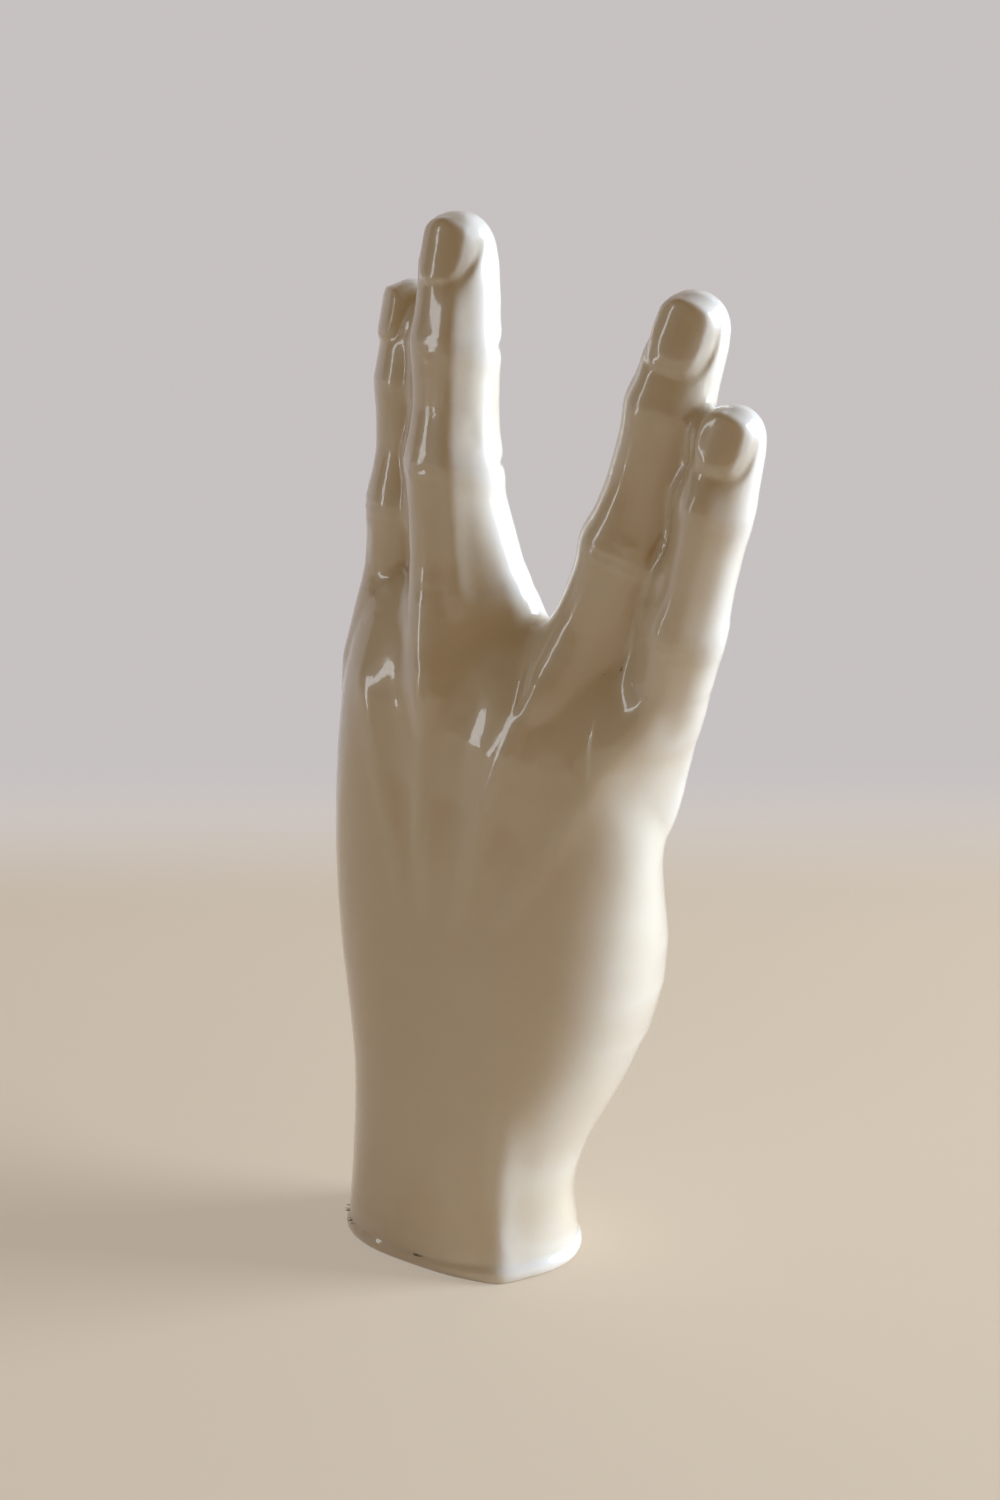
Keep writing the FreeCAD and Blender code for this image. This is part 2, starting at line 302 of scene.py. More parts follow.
turns = per_digit(-36.0, -6.0, 8.0, 4.0, -70.0)
widths = per_digit(18.8, 20.2, 18.6, 16.4, 21.0)
tip_bones = per_digit(21.5, 27.0, 24.8, 22.0, 27.0)
middle_bones = per_digit(26.0, 24.5, 31.5, 27.5)
nail_lengths = per_digit(12.0, 14.4, 15.6, 13.6, 14.0)
nail_widths = per_digit(11.2, 12.6, 13.0, 11.2, 13.6)
nail_lifts = per_digit(0.45, 0.55, 0.55, 0.50, 0.10)
curve_bend = 2


def centre_curve(name):
    """Smooth curves of a digit's middle in x and y over its height, and the height of its tip."""
    low, high = [np.array(corner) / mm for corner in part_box(name)]
    block = block_of(low, high)
    x, y, z = places_in(block)
    clay = fields[name][block] < 0
    count = clay.sum(axis=(0, 1))
    middles_x = (clay * x).sum(axis=(0, 1)) / count.clip(1)
    middles_y = (clay * y).sum(axis=(0, 1)) / count.clip(1)
    span = high[2] - low[2]
    used = (z[0, 0] > low[2] + 0.2 * span) & (z[0, 0] < high[2] - 0.15 * span)
    curve_x = np.poly1d(np.polyfit(z[0, 0][used], middles_x[used], curve_bend))
    curve_y = np.poly1d(np.polyfit(z[0, 0][used], middles_y[used], curve_bend))
    return curve_x, curve_y, high[2]


def stand_on(name, below_tip):
    """A digit's centre below its tip, and the directions across, along and out of its back."""
    across_curve, out_curve, top = curves[name]
    height = top
    for _ in range(4):
        along = np.array([across_curve.deriv()(height), out_curve.deriv()(height), 1.0])
        along /= np.linalg.norm(along)
        height = top - below_tip * along[2]
    centre = np.array([across_curve(height), out_curve(height), height])
    turn = math.radians(turns[name])
    back = np.array([math.sin(turn), -math.cos(turn), 0.0])
    back -= along * back.dot(along)
    back /= np.linalg.norm(back)
    return centre, np.cross(along, back), along, back


curves = {name: centre_curve(name) for name in digits}
for name in digits:
    print(name, "tip joint at", np.round(stand_on(name, tip_bones[name])[0], 1))

# %% [markdown]
# ## Nails, knuckles and creases
# Each form is a small relief: a height over the skin, worked out from how far a point lies
# across, along and out of the digit. Taking the height off the field moves the skin out by just
# that much, so reliefs stack up freely. A nail is a plate with a rounded shoulder, a groove round
# it and a soft fold of skin beside the groove. A joint swells, with shallow creases on its back
# and one deeper crease between the pads in front.

# %% Add a relief to the body


def bump(values, middle, spread):
    """A soft hill from 0 to 1 and back."""
    return np.exp(-(((values - middle) / spread) ** 2))


def add_relief(stand, size, relief):
    """Swells the body by a relief within a cube round a place."""
    centre, across, along, back = stand
    block = block_of(centre - size, centre + size)
    x, y, z = places_in(block)
    x, y, z = x - centre[0], y - centre[1], z - centre[2]
    local = [x * axis[0] + y * axis[1] + z * axis[2] for axis in (across, along, back)]
    body[block] -= relief(*local).astype(np.float32)


# %% Shape nails, joints and pads


def nail_relief(width, length, lift):
    """A plate that rises to its free edge, with a groove and a fold of skin along its sides."""
    squareness = 4.0
    shoulder = 0.9

    def relief(across, along, out):
        half_width = width / 2 * (1.0 - 0.10 * ramp(-along, 0.0, length / 2))
        ring = np.abs(across / half_width) ** squareness
        ring = (ring + np.abs(along / (length / 2)) ** squareness) ** (1 / squareness)
        past = (ring - 1.0) * half_width
        on_back = ramp(out, 0.5, 3.5)
        at_side = ramp(np.abs(across), 0.45 * half_width, 0.95 * half_width)
        at_tip = ramp(along, 0.30 * length, 0.48 * length)
        beside = ramp(along, -0.60 * length, -0.20 * length)
        height = (0.75 + 0.25 * ramp(along, -length / 2, length / 2)) * lift
        height = height * (1.0 - ramp(past, -shoulder, 0.15))
        grooved = 0.20 + 0.80 * at_side * beside
        height = height - 0.40 * bump(past, 0.70, 0.60) * grooved * (1.0 - at_tip)
        height = height + 0.35 * bump(past, 2.3, 1.2) * at_side * beside * (1.0 - at_tip)
        return height * on_back

    return relief


def joint_relief(width, swell, crease):
    """A joint stands out on the back and the sides, with shallow uneven creases in its skin."""
    crease_places = ((-2.9, 0.8), (-0.4, 1.0), (2.3, 0.6))

    def relief(across, along, out):
        fade = bump(along, 0.0, 4.6)
        on_back = ramp(out, 0.0, 0.3 * width)
        sides = 0.55 + 0.45 * (np.abs(across) / (0.5 * width)).clip(0, 1)
        own = 1.0 - ramp(np.abs(across), 0.52 * width, 0.75 * width)
        height = swell * fade * sides * own * ramp(out, -0.35 * width, 0.1 * width)
        for offset, depth in crease_places:
            bowed = along - offset - 0.12 * offset * (across / (0.3 * width)) ** 2
            bowed = bowed - 0.3 * np.sin(0.9 * across + offset)
            furrow = depth * crease * bump(bowed, 0.0, 0.75) * bump(across, 0.0, 0.30 * width)
            height = height - furrow * on_back
        return height

    return relief


def pad_crease_relief(width, depth):
    """The crease on the palm side of a joint, between two soft pads."""

    def relief(across, along, out):
        on_pad = ramp(-out, 0.0, 0.3 * width)
        on_pad = on_pad * (1.0 - ramp(np.abs(across), 0.40 * width, 0.58 * width))
        pads = 0.5 * depth * bump(np.abs(along), 3.0, 2.0) * on_pad
        return pads - depth * bump(along, 0.0, 0.8) * on_pad

    return relief


# %% Add them to each digit
relief_size = 16.0
nail_inset = 0.8
for name in digits:
    width = widths[name]
    nail = nail_relief(nail_widths[name], nail_lengths[name], nail_lifts[name])
    add_relief(stand_on(name, nail_lengths[name] / 2 + nail_inset), relief_size, nail)
    tip_joint = stand_on(name, tip_bones[name])
    add_relief(tip_joint, relief_size, joint_relief(width, 0.80, 0.08))
    add_relief(tip_joint, relief_size, pad_crease_relief(width, 0.45))
    if name in middle_bones:
        middle_joint = stand_on(name, tip_bones[name] + middle_bones[name])
        add_relief(middle_joint, relief_size, joint_relief(width, 1.10, 0.14))
        add_relief(middle_joint, relief_size, pad_crease_relief(width, 0.5))
print("reliefs added on", len(digits), "digits")

# %% [markdown]
# ## A soft corner on two fingers
# Light and shade meet along a soft corner on the middle and the little finger. It is a ridge at
# one angle round the finger's centre line, and it fades out at both ends.

# %% Run a soft corner along two fingers
corner_fade_in = 12.0
corner_fade_out = 8.0


def corner_relief(name, angle, height, spread, above, below_tip):
    """A finger is squarish: a soft corner runs along it."""
    low, high = [np.array(corner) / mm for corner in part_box(name)]
    block = block_of((low[0] - room, low[1] - room, above), high)
    x, y, z = places_in(block)
    across_curve, out_curve, top = curves[name]
    off_x, off_y = x - across_curve(z), y - out_curve(z)
    turn = np.degrees(np.arctan2(-off_y, off_x)) - angle
    corner_end = top - below_tip
    along = ramp(z, above, above + corner_fade_in)
    along = along * (1.0 - ramp(z, corner_end, corner_end + corner_fade_out))
    relief = height * bump(turn, 0.0, spread)
    body[block] -= (relief * ramp(np.hypot(off_x, off_y), 3.0, 7.0) * along).astype(np.float32)


corner_relief("middle_finger", 62.0, 0.8, 16.0, 140.0, 20.0)
corner_relief("little_finger", 86.0, 1.3, 28.0, 112.0, 20.0)
model_over((46.0, -6.0, 139.0), 8.0, 1.5, 1.0)
print("corners added on the middle and the little finger")

# %% [markdown]
# ## The back of the hand
# Tendons fan out from the wrist to the knuckles, with shallow valleys between them. Seen from the
# back each is a line over x and z, so a flat map of heights holds them all, and it is pressed
# onto the back only. Where the back comes close to the castings' box the map is weaker and drawn
# in, so the skin stays inside.

# %% Add the tendons and knuckles of the back


def line_relief(across, up, places, spread, height, fade_low, fade_high):
    """A ridge along a line of places, which grows from nothing between two heights."""
    nearest = np.full(np.broadcast(across, up).shape, np.inf)
    for (x0, z0), (x1, z1) in zip(places, places[1:]):
        run = (x1 - x0) ** 2 + (z1 - z0) ** 2
        share = (((across - x0) * (x1 - x0) + (up - z0) * (z1 - z0)) / run).clip(0, 1)
        away_x, away_z = across - x0 - share * (x1 - x0), up - z0 - share * (z1 - z0)
        nearest = np.minimum(nearest, np.hypot(away_x, away_z))
    return height * bump(nearest, 0.0, spread) * ramp(up, fade_low, fade_high)


tendons = [
    ([(-4.0, 78.0), (-8.0, 96.0), (-12.0, 112.0), (-18.0, 127.0)], 0.35),
    ([(2.0, 76.0), (1.5, 92.0), (1.0, 112.0), (2.0, 132.0)], 0.65),
    ([(11.0, 78.0), (14.0, 92.0), (18.0, 106.0), (23.0, 119.0), (28.0, 132.0)], 0.75),
    ([(23.0, 82.0), (30.0, 94.0), (36.0, 105.0), (43.0, 116.0)], 0.55),
]
valleys = [
    ([(-3.0, 92.0), (-5.5, 106.0), (-8.0, 124.0)], 0.45),
    ([(8.0, 96.0), (10.0, 110.0), (13.0, 126.0)], 0.6),
    ([(21.0, 96.0), (27.0, 107.0), (32.0, 116.0)], 0.5),
]
tendon_spread = 2.8
valley_spread = 4.0
across = ((np.arange(field_shape[0]) + field_low[0]) * cell)[:, None]
up = heights[None, :]
back_map = np.zeros((field_shape[0], field_shape[2]))
for tendon, height in tendons:
    back_map += line_relief(across, up, tendon, tendon_spread, height, 72.0, 104.0)
for valley, depth in valleys:
    back_map -= line_relief(across, up, valley, valley_spread, depth, 86.0, 110.0)
knuckles = [(1.0, 129.0, 0.3), (27.0, 127.0, 0.4)]
for knuckle_x, knuckle_z, height in knuckles:
    back_map += height * bump(np.hypot(across - knuckle_x, up - knuckle_z), 0.0, 8.0)
out = ((np.arange(field_shape[1]) + field_low[1]) * cell)[None, :, None]
near_box = ramp(-out, 19.2, 21.4)
on_back = ramp(-out, -2.0, 8.0) * (1.0 - 0.6 * near_box)
drawn_in = 0.35 * near_box
body -= (back_map[:, None, :] * on_back - drawn_in).astype(np.float32)
print("highest ridge", round(float(back_map.max()), 2))
print("deepest valley", round(float(back_map.min()), 2))

# %% [markdown]
# ## A knuckle and a corner
# Two round mounds shape the little finger's knuckle, and a round hollow thins the flesh below it.
# Then a ridge makes the wrist's corner crisp.

# %% Shape the little finger's knuckle and the wrist's corner
mounds = [
    ((43.8, -8.7, 120.9), 12.8, 2.5),
    ((56.6, -0.2, 114.8), 10.4, -3.2),
    ((54.0, -2.7, 121.0), 5.0, 1.0),
]
upright = (np.array([1.0, 0.0, 0.0]), np.array([0.0, 0.0, 1.0]), np.array([0.0, -1.0, 0.0]))
mound_reach = 2.5


def mound_relief(radius, height):
    """A round swelling, or a hollow where the height is below zero."""
    return lambda x, z, y: height * np.exp(-(x**2 + y**2 + z**2) / radius**2)


for place, radius, height in mounds:
    add_relief((np.array(place), *upright), mound_reach * radius, mound_relief(radius, height))
model_over((51.0, -3.0, 112.0), 10.0, 4.0, 0.8)
corner_x, corner_y = 21.8, -16.0
corner_half, corner_top = 12.0, 60.0
corner_height = 0.8
corner_block = block_of(
    (corner_x - corner_half, corner_y - corner_half, 0.0),
    (corner_x + corner_half, corner_y + corner_half, corner_top),
)
x, y, z = places_in(corner_block)
corner_ridge = bump(np.hypot(x - corner_x, y - corner_y), 0.0, 4.0) * (1.0 - ramp(z, 30.0, 55.0))
body[corner_block] -= (corner_height * corner_ridge).astype(np.float32)
print("mounds:", len(mounds))

# %% [markdown]
# ## Glaze between touching fingers
# The reliefs can open a slit where two fingers touch, and real glaze would close it. So the lower
# of the body and its blur is taken once more, but only where both fingers are near.

# %% Fill the creases between touching fingers
slit_radius = 1.5
slit_near, slit_far = 1.6, 3.6
crease_fill = np.minimum(body, blur(body, slit_radius))
for first, second in touching:
    between = 1.0 - ramp(np.maximum(fields[first], fields[second]), slit_near, slit_far)
    body += (crease_fill - body) * between.astype(np.float32)
print("creases filled:", len(touching))

# %% [markdown]
# ## The foot
# The hand stands on the flat underside of its slab, so the skin is cut level there. The vent that
# lets air out of the hollow in the kiln goes through the slab, beside its centre.

# %% Cut the foot level and open the vent
vent_radius = 3.0
vent_place = (6.0, 0.0)
vent_depth = 6.0
far = 1e3
whole = block_of((-far,) * 3, (far,) * 3)
x, y, z = places_in(whole)
vent = np.maximum(np.hypot(x - vent_place[0], y - vent_place[1]) - vent_radius, z - vent_depth)
body = np.maximum(np.maximum(body, -z), -vent).astype(np.float32)
print("lowest clay cell", round(float(heights[(body < 0).any(axis=(0, 1))].min()), 2))

# %% [markdown]
# ## From field to skin
# The skin is where the field is zero. To work with it the field is read at any point, by mixing
# the eight cells round it, and its slope there points straight out of the clay.

# %% Read a field and its slope at points


def sample(field, points, first):
    """Values of a field at points, mixed from the cells round each. The first cell is given."""
    places = points / cell - first
    low = np.clip(np.floor(places).astype(int), 0, np.array(field.shape) - 2)
    part = (places - low).astype(np.float32)
    total = np.zeros(len(points), np.float32)
    for corner in range(8):
        step = np.array([(corner >> axis) & 1 for axis in range(3)])
        weight = np.where(step, part, 1.0 - part).prod(axis=1)
        index = low + step
        total += weight * field[index[:, 0], index[:, 1], index[:, 2]]
    return total


def slope(field, points, first):
    """The field's gradient at points."""
    result = np.empty((len(points), 3), np.float32)
    for axis in range(3):
        step = np.zeros(3)
        step[axis] = cell
        change = sample(field, points + step, first) - sample(field, points - step, first)
        result[:, axis] = change / (2.0 * cell)
    return result


# %% [markdown]
# ## Parting at the luting joints
# Each casting keeps its own piece, so the joined body is parted again. A digit's land starts at
# its flat luting face and holds what lies nearest to that digit. The slab's land ends where the
# palm starts, and the palm has the rest.

# %% Part the body at the luting joints


def luting_face(node):
    """A point and the outward direction of a digit's luting face, which is its largest flat one."""
    points, triangles = surface_of(node)
    corners = points[triangles]
    normals = np.cross(corners[:, 1] - corners[:, 0], corners[:, 2] - corners[:, 0])
    areas = np.linalg.norm(normals, axis=1)
    normals = normals[areas > 0] / areas[areas > 0][:, None]
    centres = corners[areas > 0].mean(axis=1)
    areas = areas[areas > 0]
    keys = np.column_stack([normals * 50, (normals * centres).sum(axis=1) * 5])
    _, member = np.unique(np.round(keys).astype(int), axis=0, return_inverse=True)
    group_areas = np.bincount(member.ravel(), weights=areas)
    flat = member.ravel() == group_areas.argmax()
    centre = np.average(centres[flat], axis=0, weights=areas[flat])
    return centre, np.average(normals[flat], axis=0, weights=areas[flat])


def territory_of(name):
    """Above zero where the body belongs to a digit: past its luting face and nearest to it."""
    low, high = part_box(name)
    block = block_of(np.array(low) / mm - room / 2, np.array(high) / mm + room / 2)
    x, y, z = places_in(block)
    centre, outward = luting_face(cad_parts[name])
    away_x, away_y, away_z = centre[0] - x, centre[1] - y, centre[2] - z
    past_joint = away_x * outward[0] + away_y * outward[1] + away_z * outward[2]
    others = np.minimum.reduce([fields[other][block] for other in castings if other != name])
    return block, np.minimum(past_joint, (others - fields[name][block]) / 2.0).astype(np.float32)


slab_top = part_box("palm_and_wrist")[0].z / mm
slab_block = block_of((-far,) * 3, (far, far, slab_top + room))
palm_land = np.broadcast_to((heights - slab_top).astype(np.float32), field_shape).copy()
lands = {"foot_slab": (slab_block, -palm_land[slab_block])}
for name in digits:
    block, land = territory_of(name)
    lands[name] = (block, land)
    palm_land[block] = np.minimum(palm_land[block], -land)
lands["palm_and_wrist"] = (whole, palm_land)
print("lands:", ", ".join(lands))

# %% [markdown]
# ## Netting the skin
# OpenVDB nets the zero surface with quads, and then each point slides along the field's slope
# onto the exact zero, which takes the grid's steps out. The slope also gives the shading normals,
# smoother than any that faces could give. Points near a cut slide onto both the skin and the cut,
# so neighbours meet in one sharp, unseen line. The field less its own blur tells hollows from
# ridges, and each point keeps that number for the glaze.

# %% Net one casting's skin
palm_net_cell = 0.7
slides = 6
flat_slope = 0.05
hollow_blur_radius = 1.5
hollow_depth = 0.35
# Above zero in hollows and below zero on ridges. The glaze colour reads it: darker in hollows, as
# pooled glaze and as painted shade, and paler on ridges where glaze runs thin.
pooling_and_shade = np.clip((body - blur(body, hollow_blur_radius)) / hollow_depth, -1.0, 1.0)


def coarser(part, first, net_cell):
    """The same values on a wider grid."""
    low = np.ceil((first + 1) * cell / net_cell).astype(int)
    high = np.floor((first + np.array(part.shape) - 2) * cell / net_cell).astype(int)
    spans = [np.arange(low[axis], high[axis] + 1) * net_cell for axis in range(3)]
    planes = []
    for height in spans[2]:
        x, y = np.meshgrid(spans[0], spans[1], indexing="ij")
        places = np.column_stack([x.ravel(), y.ravel(), np.full(x.size, height)])
        planes.append(sample(part, places, first).reshape(x.shape))
    return np.stack(planes, axis=2), low


def net_piece(name):
    """A closed net of points and quads over the skin inside one casting's land."""
    block, land = lands[name]
    start = field_low + [span.start for span in block]
    skin = body[block]
    net_cell = palm_net_cell if name == "palm_and_wrist" else cell
    part, first = np.maximum(skin, -land), start
    if net_cell > cell:
        part, first = coarser(part, start, net_cell)
    grid = openvdb.FloatGrid(reach)
    grid.transform = openvdb.createLinearTransform(voxelSize=net_cell)
    grid.copyFromArray(np.ascontiguousarray(part), ijk=tuple(int(index) for index in first))
    points, quads = grid.convertToQuads(0.0)
    points = np.array(points, np.float64)
    quads = np.array(quads)
    for _ in range(slides):
        skin_value, skin_slope = sample(skin, points, start), slope(skin, points, start)
        land_value, land_slope = sample(land, points, start), slope(land, points, start)
        near_skin = np.abs(skin_value) <= np.abs(land_value)
        near_both = (np.abs(skin_value) < net_cell) & (np.abs(land_value) < net_cell)
        skin_move = skin_value / (skin_slope**2).sum(1).clip(flat_slope)
        land_move = land_value / (land_slope**2).sum(1).clip(flat_slope)
        points -= np.where(near_skin | near_both, skin_move, 0.0)[:, None] * skin_slope
        points -= np.where(~near_skin | near_both, land_move, 0.0)[:, None] * land_slope
    normals = slope(skin, points, start)
    pooled_and_shaded = sample(pooling_and_shade[block], points, start)
    centres = points[quads].mean(axis=1)
    on_cut = np.abs(sample(skin, centres, start)) > np.abs(sample(land, centres, start))
    return points, quads, normals, on_cut, pooled_and_shaded


# %% Make the pieces


def make_piece(name):
    """A Blender mesh of one casting's skin, shaded by the field's slope and flat on its cuts."""
    points, quads, normals, on_cut, pooled_and_shaded = net_piece(name)
    mesh = bpy.data.meshes.new(name + "_skin")
    mesh.from_pydata((points * mm).tolist(), [], quads.tolist())
    mesh.polygons.foreach_set("use_smooth", np.ones(len(quads), bool))
    corners = np.empty(len(mesh.loops), np.int32)
    mesh.loops.foreach_get("vertex_index", corners)
    shading = normals[corners]
    shading[np.repeat(on_cut, 4)] = 0.0
    mesh.normals_split_custom_set(shading.tolist())
    # Each point keeps its hollow number, which paints shade and pooled glaze into the hollows.
    mesh.attributes.new("pooling_and_shade", "FLOAT", "POINT").data.foreach_set("value", pooled_and_shaded)
    piece = bpy.data.objects.new(name + "_skin", mesh)
    bpy.context.scene.collection.objects.link(piece)
    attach(piece, "root")
    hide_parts(name)
    print(name, len(points), "points,", len(quads), "quads,", int(on_cut.sum()), "on cuts")
    return piece


pieces = [make_piece(name) for name in castings]

# %% [markdown]
# ## The glaze
# This is ivory glaze over a cream body: a thick, clear gloss with colour in it. So the shader has
# a coat for the mirror-like surface, a little light under the skin, and fine ripples that bend
# reflections. The colour is deeper in hollows, as pooled glaze and as painted shade, and paler
# where glaze has run thin. A few pinholes dimple it, and under the foot the clay is bare.

# %% A material and short ways to wire its nodes
glaze = bpy.data.materials.new("ivory_glaze")
glaze.use_nodes = True
nodes, links = glaze.node_tree.nodes, glaze.node_tree.links
shader = nodes["Principled BSDF"]


def node(kind, **settings):
    """A new shader node with its settings."""
    new = nodes.new(kind)
    for name, value in settings.items():
        setattr(new, name, value)
    return new


def feed(target, source):
    """Links an output to a socket, or sets the socket to a value."""
    if isinstance(source, bpy.types.NodeSocket):
        links.new(source, target)
    else:
        target.default_value = source


def math_of(operation, *sources):
    """A sum on sockets or values."""
    new = node("ShaderNodeMath", operation=operation)
    for target, source in zip(new.inputs, sources):
        feed(target, source)
    return new.outputs["Value"]


def span_of(source, low, high, to_low=0.0, to_high=1.0):
    """Maps a span of values smoothly to another."""
    new = node("ShaderNodeMapRange", interpolation_type="SMOOTHSTEP")
    for target, value in zip(new.inputs, (source, low, high, to_low, to_high)):
        feed(target, value)
    return new.outputs["Result"]


def mixed(share, first, second):
    """A mix of two colours by a share."""
    new = node("ShaderNodeMix", data_type="RGBA")
    share_socket, _, _, _, _, _, first_socket, second_socket = new.inputs[:8]
    for target, source in ((share_socket, share), (first_socket, first), (second_socket, second)):
        feed(target, source)
    return new.outputs[2]


places = node("ShaderNodeTexCoord").outputs["Object"]


def noise_of(size, detail, roughness=0.5):
    """Soft noise whose blotches have a size in millimetres."""
    new = node("ShaderNodeTexNoise")
    feed(new.inputs["Vector"], places)
    feed(new.inputs["Scale"], 1.0 / (size * mm))
    feed(new.inputs["Detail"], detail)
    feed(new.inputs["Roughness"], roughness)
    return new.outputs["Fac"]


# %% Colour of the glaze and of the bare clay
ivory = (0.86, 0.81, 0.70, 1.0)
# Deeper, warmer ivory for hollows: partly pooled glaze, partly painted shade in the creases.
pooled_and_shaded_ivory = (0.80, 0.71, 0.56, 1.0)
thin_ivory = (0.90, 0.87, 0.80, 1.0)
bare_clay = (0.72, 0.62, 0.50, 1.0)
dark_clay = (0.62, 0.52, 0.40, 1.0)
blotch_share = 0.35

pooled_and_shaded = node("ShaderNodeAttribute", attribute_name="pooling_and_shade").outputs["Fac"]
blotches = math_of("SUBTRACT", noise_of(14.0, 3.0), 0.5)
uneven = math_of("ADD", pooled_and_shaded, math_of("MULTIPLY", blotches, blotch_share))
# Hollows turn to the deeper ivory, as pooled glaze and as painted shade. Random blotches vary the
# tone.
colour = mixed(span_of(uneven, 0.05, 0.9), ivory, pooled_and_shaded_ivory)
colour = mixed(span_of(uneven, -0.1, -0.8), colour, thin_ivory)

surface = node("ShaderNodeNewGeometry")
level = node("ShaderNodeSeparateXYZ")
links.new(surface.outputs["Position"], level.inputs["Vector"])
facing = node("ShaderNodeSeparateXYZ")
links.new(surface.outputs["True Normal"], facing.inputs["Vector"])
near_floor = span_of(level.outputs["Z"], 0.9 * mm, 0.3 * mm)
under_foot = math_of("MULTIPLY", near_floor, span_of(facing.outputs["Z"], -0.5, -0.8))
speckle = mixed(noise_of(0.8, 4.0), bare_clay, dark_clay)
colour = mixed(under_foot, colour, speckle)
print("glaze colour nodes:", len(nodes))

# %% Ripples, pinholes and gloss
holes = node("ShaderNodeTexVoronoi", feature="F1")
feed(holes.inputs["Vector"], places)
feed(holes.inputs["Scale"], 1.0 / (3.2 * mm))
pinhole = span_of(holes.outputs["Distance"], 0.07, 0.0)
swell = math_of("MULTIPLY", noise_of(8.0, 1.0), 0.050)
ripple = math_of("MULTIPLY", noise_of(2.4, 3.0), 0.034)
dip = math_of("MULTIPLY", pinhole, -0.020)
grain = math_of("MULTIPLY", math_of("MULTIPLY", noise_of(0.5, 3.0), under_foot), 0.15)
relief = math_of("ADD", math_of("ADD", swell, ripple), math_of("ADD", dip, grain))
bumps = node("ShaderNodeBump")
feed(bumps.inputs["Height"], relief)
feed(bumps.inputs["Distance"], mm)

feed(shader.inputs["Base Color"], colour)
feed(shader.inputs["Roughness"], math_of("ADD", 0.30, math_of("MULTIPLY", under_foot, 0.5)))
feed(shader.inputs["Subsurface Weight"], 0.15)
feed(shader.inputs["Subsurface Radius"], (1.0, 0.8, 0.5))
feed(shader.inputs["Subsurface Scale"], 2.0 * mm)
feed(shader.inputs["Coat Weight"], math_of("SUBTRACT", 1.0, under_foot))
feed(shader.inputs["Coat Roughness"], span_of(noise_of(10.0, 2.0), 0.3, 0.7, 0.02, 0.06))
feed(shader.inputs["Normal"], bumps.outputs["Normal"])
feed(shader.inputs["Coat Normal"], bumps.outputs["Normal"])
for piece in pieces:
    piece.data.materials.append(glaze)
print("glazed pieces:", len(pieces))

# %% [markdown]
# ## Floor and backdrop
# The hand stands on a plain pale sweep, a floor that bends up into a backdrop. Half of the
# floor's look and all of the backdrop's is one even tone for the camera and for mirrored rays.
# The rest of the light meets a warm, matte paint, which keeps the shadow and tints the shade.

# %% Shape of the floor and backdrop
away = Vector((-math.sin(camera_side), math.cos(camera_side), 0.0))
across = Vector((math.cos(camera_side), math.sin(camera_side), 0.0))
sweep_near = -1.2
sweep_far = 1.4
sweep_rise = 2.0
sweep_bend = 0.5
sweep_half_width = 3.0
sweep_steps = 24


def sweep_profile():
    """Distance away from the camera and height along the sweep, flat, bent up and upright."""
    profile = [(sweep_near, 0.0)]
    for step in range(sweep_steps + 1):
        angle = math.pi / 2 * step / sweep_steps
        distance = sweep_far - sweep_bend + sweep_bend * math.sin(angle)
        profile.append((distance, sweep_bend * (1 - math.cos(angle))))
    profile.append((sweep_far, sweep_rise))
    return profile


sweep_points = []
for distance, height in sweep_profile():
    for side in (-sweep_half_width, sweep_half_width):
        sweep_points.append(away * distance + across * side + Vector((0.0, 0.0, height)))
sweep_faces = [(i, i + 1, i + 3, i + 2) for i in range(0, len(sweep_points) - 2, 2)]
sweep_mesh = bpy.data.meshes.new("sweep")
sweep_mesh.from_pydata(sweep_points, [], sweep_faces)
sweep_mesh.polygons.foreach_set("use_smooth", [True] * len(sweep_faces))
sweep = bpy.data.objects.new("sweep", sweep_mesh)
bpy.context.scene.collection.objects.link(sweep)
print("sweep faces:", len(sweep_faces))

# %% Paint of the floor and backdrop
floor_colour = (0.74, 0.58, 0.40, 1.0)
floor_tone = (0.76, 0.69, 0.59, 1.0)
backdrop_tone = (0.57, 0.535, 0.535, 1.0)
tone_share = 0.5
backdrop_start, backdrop_end = 0.18, 0.36

sweep_paint = bpy.data.materials.new("sweep_paint")
sweep_paint.use_nodes = True
nodes, links = sweep_paint.node_tree.nodes, sweep_paint.node_tree.links
nodes["Principled BSDF"].inputs["Base Color"].default_value = floor_colour
nodes["Principled BSDF"].inputs["Roughness"].default_value = 0.9
tone = nodes.new("ShaderNodeEmission")
seen = nodes.new("ShaderNodeLightPath")
seen_or_mirrored = nodes.new("ShaderNodeMath")
seen_or_mirrored.operation = "MAXIMUM"
links.new(seen.outputs["Is Camera Ray"], seen_or_mirrored.inputs[0])
links.new(seen.outputs["Is Glossy Ray"], seen_or_mirrored.inputs[1])
place = nodes.new("ShaderNodeNewGeometry")
distance_away = nodes.new("ShaderNodeVectorMath")
distance_away.operation = "DOT_PRODUCT"
distance_away.inputs[1].default_value = away
links.new(place.outputs["Position"], distance_away.inputs[0])
backdrop_share = nodes.new("ShaderNodeMapRange")
backdrop_share.interpolation_type = "SMOOTHSTEP"
backdrop_share.inputs["From Min"].default_value = backdrop_start
backdrop_share.inputs["From Max"].default_value = backdrop_end
links.new(distance_away.outputs["Value"], backdrop_share.inputs["Value"])
feed(tone.inputs["Color"], mixed(backdrop_share.outputs["Result"], floor_tone, backdrop_tone))
tone_part = span_of(backdrop_share.outputs["Result"], 0.0, 1.0, tone_share, 1.0)
tone_mix = nodes.new("ShaderNodeMixShader")
links.new(math_of("MULTIPLY", tone_part, seen_or_mirrored.outputs["Value"]), tone_mix.inputs["Fac"])
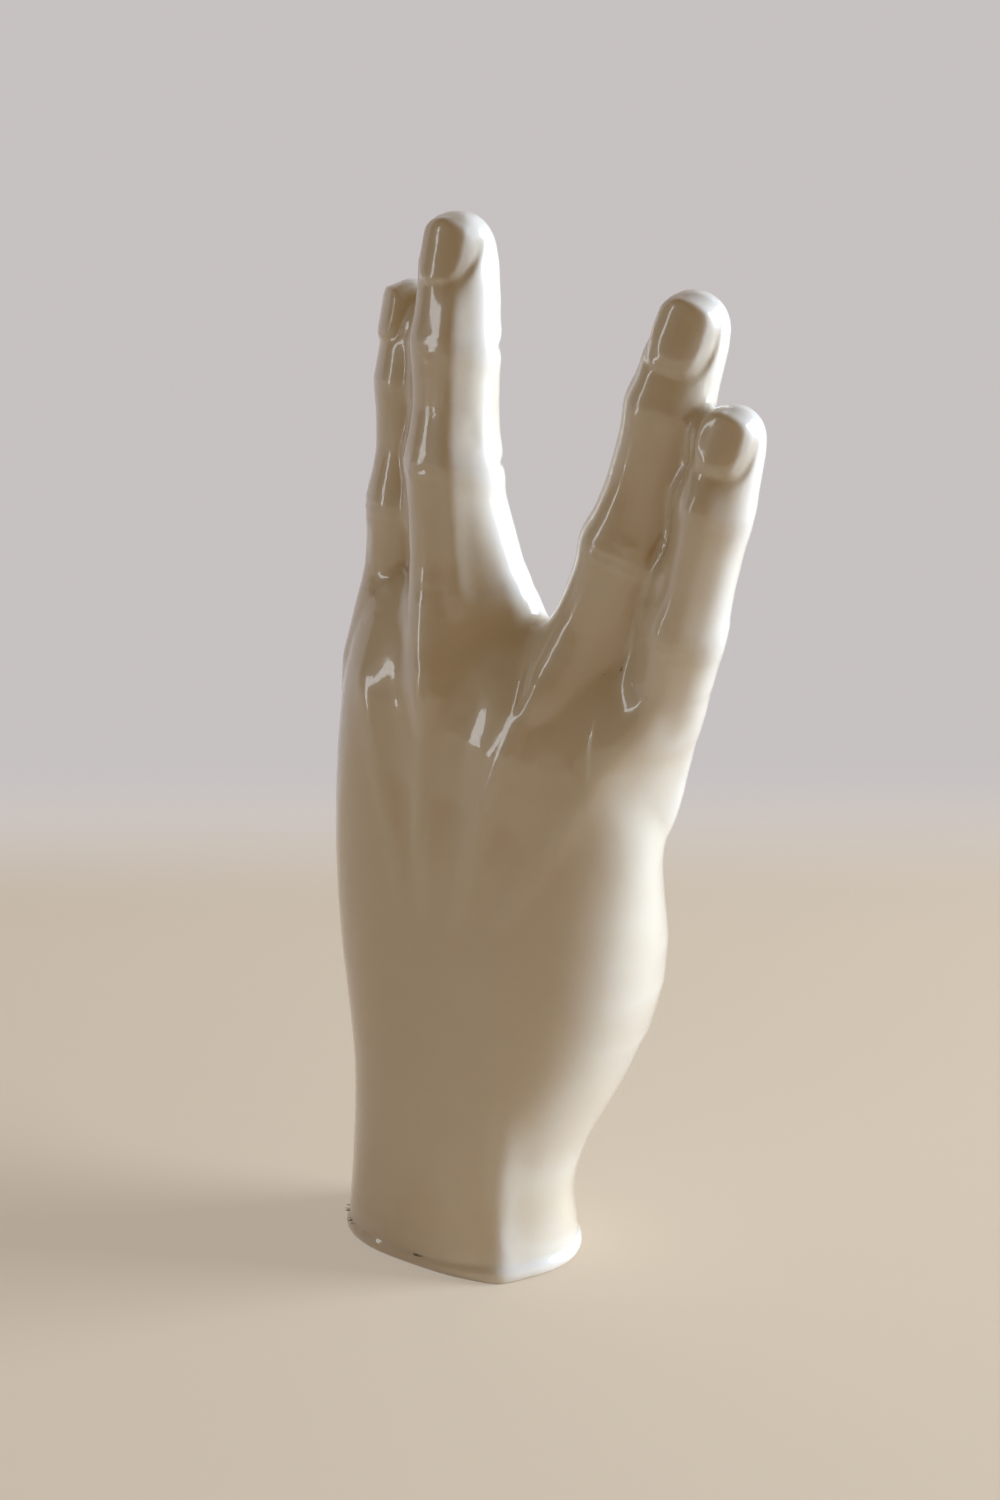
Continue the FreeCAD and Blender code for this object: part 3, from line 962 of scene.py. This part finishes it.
links.new(nodes["Principled BSDF"].outputs["BSDF"], tone_mix.inputs[1])
links.new(tone.outputs["Emission"], tone_mix.inputs[2])
links.new(tone_mix.outputs["Shader"], nodes["Material Output"].inputs["Surface"])
sweep_mesh.materials.append(sweep_paint)
print("sweep paint nodes:", len(nodes))

# %% [markdown]
# ## Lights
# One broad, cool light stands to the right, as in the photograph, and a narrow one far to the
# left draws the thin streaks.

# %% Two soft lights


def soft_light(name, side, rise, distance, size, power, colour):
    """A rectangular lamp that faces the palm, turned by a side angle from the camera's right."""
    data = bpy.data.lights.new(name, "AREA")
    data.shape = "RECTANGLE"
    data.size, data.size_y = size
    data.energy = power
    data.color = colour
    lamp = bpy.data.objects.new(name, data)
    turn, lift = math.radians(side), math.radians(rise)
    direction = (across * math.cos(turn) + away * math.sin(turn)) * math.cos(lift)
    direction = direction + Vector((0.0, 0.0, math.sin(lift)))
    lamp.location = camera_aim + direction * distance
    lamp.rotation_euler = (-direction).to_track_quat("-Z", "Y").to_euler()
    bpy.context.scene.collection.objects.link(lamp)
    return lamp


soft_light("broad_light", 0.0, 18.0, 1.2, (0.55, 0.9), 25.5, (0.70, 0.83, 1.0))
soft_light("streak_light", 183.0, 10.0, 1.6, (0.14, 0.8), 1.6, (0.86, 0.93, 1.0))
print("lights:", len(bpy.data.lights))

# %% [markdown]
# ## The room's own light
# A warm, dim room fills the shade, and it is paler on the side that the glaze mirrors. Where the
# camera looks past the sweep it sees the backdrop's tone.

# %% A warm, dim room
warm_room = (0.160, 0.088, 0.021, 1.0)
pale_room = (0.190, 0.150, 0.092, 1.0)

world = bpy.data.worlds.new("room")
world.use_nodes = True
nodes, links = world.node_tree.nodes, world.node_tree.links
toward = node("ShaderNodeSeparateXYZ")
links.new(node("ShaderNodeTexCoord").outputs["Generated"], toward.inputs["Vector"])
bearing = math_of("ARCTAN2", toward.outputs["X"], math_of("MULTIPLY", toward.outputs["Y"], -1.0))
from_left = span_of(bearing, math.radians(-78), math.radians(-74))
from_right = span_of(bearing, math.radians(-16), math.radians(-19))
below_ceiling = span_of(toward.outputs["Z"], 0.80, 0.74)
pale_side = math_of("MULTIPLY", math_of("MULTIPLY", from_left, from_right), below_ceiling)
room_light = mixed(pale_side, warm_room, pale_room)
seen_by_camera = node("ShaderNodeLightPath").outputs["Is Camera Ray"]
feed(nodes["Background"].inputs["Color"], mixed(seen_by_camera, room_light, backdrop_tone))
feed(nodes["Background"].inputs["Strength"], 1.0)
bpy.context.scene.world = world
bpy.context.scene.view_settings.view_transform = "Standard"
print("room nodes:", len(nodes))

# %% [markdown]
# ## Sizes and the closing line
# The castings' box is printed in millimetres at the end. The skin may not grow past the
# castings.

# %% Keep the sizes and finish
print("cad", [[round(v / mm, 2) for v in corner] for corner in cad_box])
